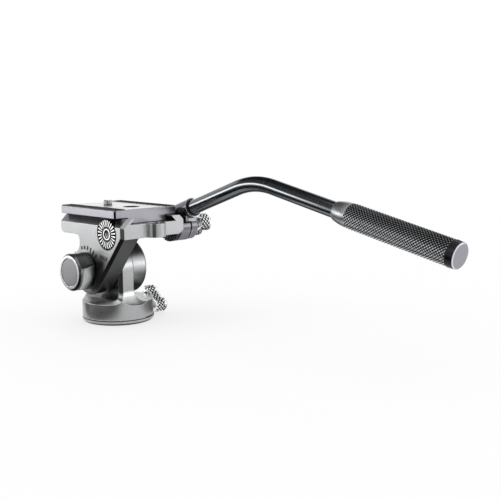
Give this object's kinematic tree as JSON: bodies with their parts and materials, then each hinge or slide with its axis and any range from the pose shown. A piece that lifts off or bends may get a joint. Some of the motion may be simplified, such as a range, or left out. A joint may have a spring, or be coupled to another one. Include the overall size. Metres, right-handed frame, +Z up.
{
  "type": "fluid video head",
  "caption": "Compact fluid video head: round pan base, one-armed tilting platform with a sliding quick-release plate, drag knob, bubble level and a bent pan handle with a knurled grip.",
  "frame": {"origin": "centre of the base's underside, on the pan axis, at the mouth of the tripod thread", "axes": "+Z up along the pan axis, +Y towards the lens, +X to the operator's right along the tilt axis"},
  "size_m": [0.0979, 0.2847, 0.1032],
  "materials": {
    "satin_titanium": "bead-blasted, satin anodised",
    "clamp_anodised": "dark satin anodised, faintly lavender",
    "gunmetal_knob": "dark satin anodised",
    "knob_inlay": "fine turned, satin",
    "knurled_silver": "dot knurled, satin",
    "plate_anodised": "lavender grey satin anodised",
    "tube_gloss": "gloss gunmetal anodised",
    "grip_knurl": "diamond knurled, dark anodised",
    "cap_satin": "satin turned",
    "steel": "turned",
    "rosette_steel": "toothed, satin",
    "black_fasteners": "black oxide",
    "bronze": "plain bearing bronze",
    "aluminium_inner": "machined",
    "slide_plastic": "low-friction acetal",
    "black_rubber": "matte",
    "level_cup": "matte black",
    "level_liquid": "dyed liquid with a bubble",
    "level_glass": "clear"
  },
  "bodies": {
    "base": {"base_plate": "satin_titanium", "tripod_insert": "steel", "base_screws": "black_fasteners", "pan_spindle": "steel"},
    "pan_head": {"pan_housing": "satin_titanium", "pan_retaining_ring": "aluminium_inner", "pan_thrust_washer": "slide_plastic", "pan_wear_washer": "slide_plastic", "tilt_bush": "bronze", "fluid_case": "satin_titanium", "inner_stator": "slide_plastic", "outer_stator": "slide_plastic"},
    "pan_brake": {"pan_brake_shoe": "bronze"},
    "pan_lock": {"pan_lock_knob": "knurled_silver", "pan_lock_screw": "steel"},
    "tilt_head": {"tilt_bracket": "satin_titanium", "tilt_shaft": "steel", "shaft_screws": "black_fasteners", "rotor_disc": "steel", "rotor_circlip": "black_fasteners", "rosette_left": "rosette_steel", "level_cup": "level_cup", "level_fluid": "level_liquid", "level_glass": "level_glass", "shoe_guide_pins": "steel"},
    "drag_plate": {"pressure_plate": "steel"},
    "drag_control": {"drag_knob": "gunmetal_knob", "drag_knob_inlay": "knob_inlay", "drag_rod": "steel", "knob_bolt": "black_fasteners", "drag_washer": "slide_plastic"},
    "clamp_jaw": {"clamp_shoe": "satin_titanium"},
    "plate_lock": {"plate_lock_knob": "knurled_silver", "plate_lock_screw": "steel"},
    "camera_plate": {"quick_release_plate": "plate_anodised", "plate_stop_screws": "black_fasteners", "camera_screw_clip": "black_fasteners"},
    "camera_stud": {"camera_screw": "steel"},
    "handle_release": {"handle_lock_washer": "clamp_anodised"},
    "handle_lock": {"handle_lock_knob": "knurled_silver", "handle_lock_screw": "steel"},
    "pan_handle": {"handle_clamp": "clamp_anodised", "handle_rosette": "rosette_steel", "socket_seal": "black_rubber", "handle_tube": "tube_gloss", "tube_set_screw": "black_fasteners", "handle_ferrule": "satin_titanium", "handle_grip": "grip_knurl", "grip_seal_ring": "black_rubber", "grip_end_cap": "cap_satin"}
  },
  "joints": [
    {"name": "pan", "type": "hinge", "parent": "base", "child": "pan_head", "pos_m": [0, 0, 0.0099], "axis": [0, 0, 1], "continuous": true},
    {"name": "pan_brake_slide", "type": "slide", "parent": "pan_head", "child": "pan_brake", "axis": [1, 0, 0], "range_m": [-0.0002444, 0.0005556]},
    {"name": "pan_lock_turn", "type": "hinge", "parent": "pan_brake", "child": "pan_lock", "pos_m": [0.03, 0, 0.0099], "axis": [1, 0, 0], "range_deg": [-112, 252]},
    {"name": "tilt", "type": "hinge", "parent": "pan_head", "child": "tilt_head", "pos_m": [0, 0, 0.0378], "axis": [1, 0, 0], "range_deg": [-80, 50]},
    {"name": "drag_plate_slide", "type": "slide", "parent": "tilt_head", "child": "drag_plate", "axis": [1, 0, 0], "range_m": [-0.0005333, 0]},
    {"name": "drag_turn", "type": "hinge", "parent": "tilt_head", "child": "drag_control", "pos_m": [-0.033, 0, 0.0378], "axis": [1, 0, 0], "range_deg": [-2, 242]},
    {"name": "clamp_slide", "type": "slide", "parent": "tilt_head", "child": "clamp_jaw", "axis": [1, 0, 0], "range_m": [0, 0.0016]},
    {"name": "plate_lock_turn", "type": "hinge", "parent": "clamp_jaw", "child": "plate_lock", "pos_m": [0.03, 0.008, 0.0684], "axis": [1, 0, 0], "range_deg": [-2, 720]},
    {"name": "plate_slide", "type": "slide", "parent": "tilt_head", "child": "camera_plate", "axis": [0, 1, 0], "range_m": [-0.012, 0.012]},
    {"name": "camera_screw_turn", "type": "hinge", "parent": "camera_plate", "child": "camera_stud", "pos_m": [0, 0.009, 0.078], "axis": [0, 0, 1], "continuous": true},
    {"name": "handle_release_slide", "type": "slide", "parent": "tilt_head", "child": "handle_release", "axis": [1, 0, 0], "range_m": [0, 0.001]},
    {"name": "handle_lock_turn", "type": "hinge", "parent": "handle_release", "child": "handle_lock", "pos_m": [0.05, -0.025, 0.0645], "axis": [1, 0, 0], "range_deg": [-2, 362]},
    {"name": "handle_angle", "type": "hinge", "parent": "handle_release", "child": "pan_handle", "pos_m": [0.03, -0.025, 0.0645], "axis": [1, 0, 0], "range_deg": [-75, 75]}
  ],
  "couplings": [
    {"joint": "pan_lock_turn", "follows": "pan_brake_slide", "rad_per_m": 7854},
    {"joint": "drag_turn", "follows": "drag_plate_slide", "rad_per_m": -7854},
    {"joint": "plate_lock_turn", "follows": "clamp_slide", "rad_per_m": 7854},
    {"joint": "handle_lock_turn", "follows": "handle_release_slide", "rad_per_m": 6283.2}
  ]
}
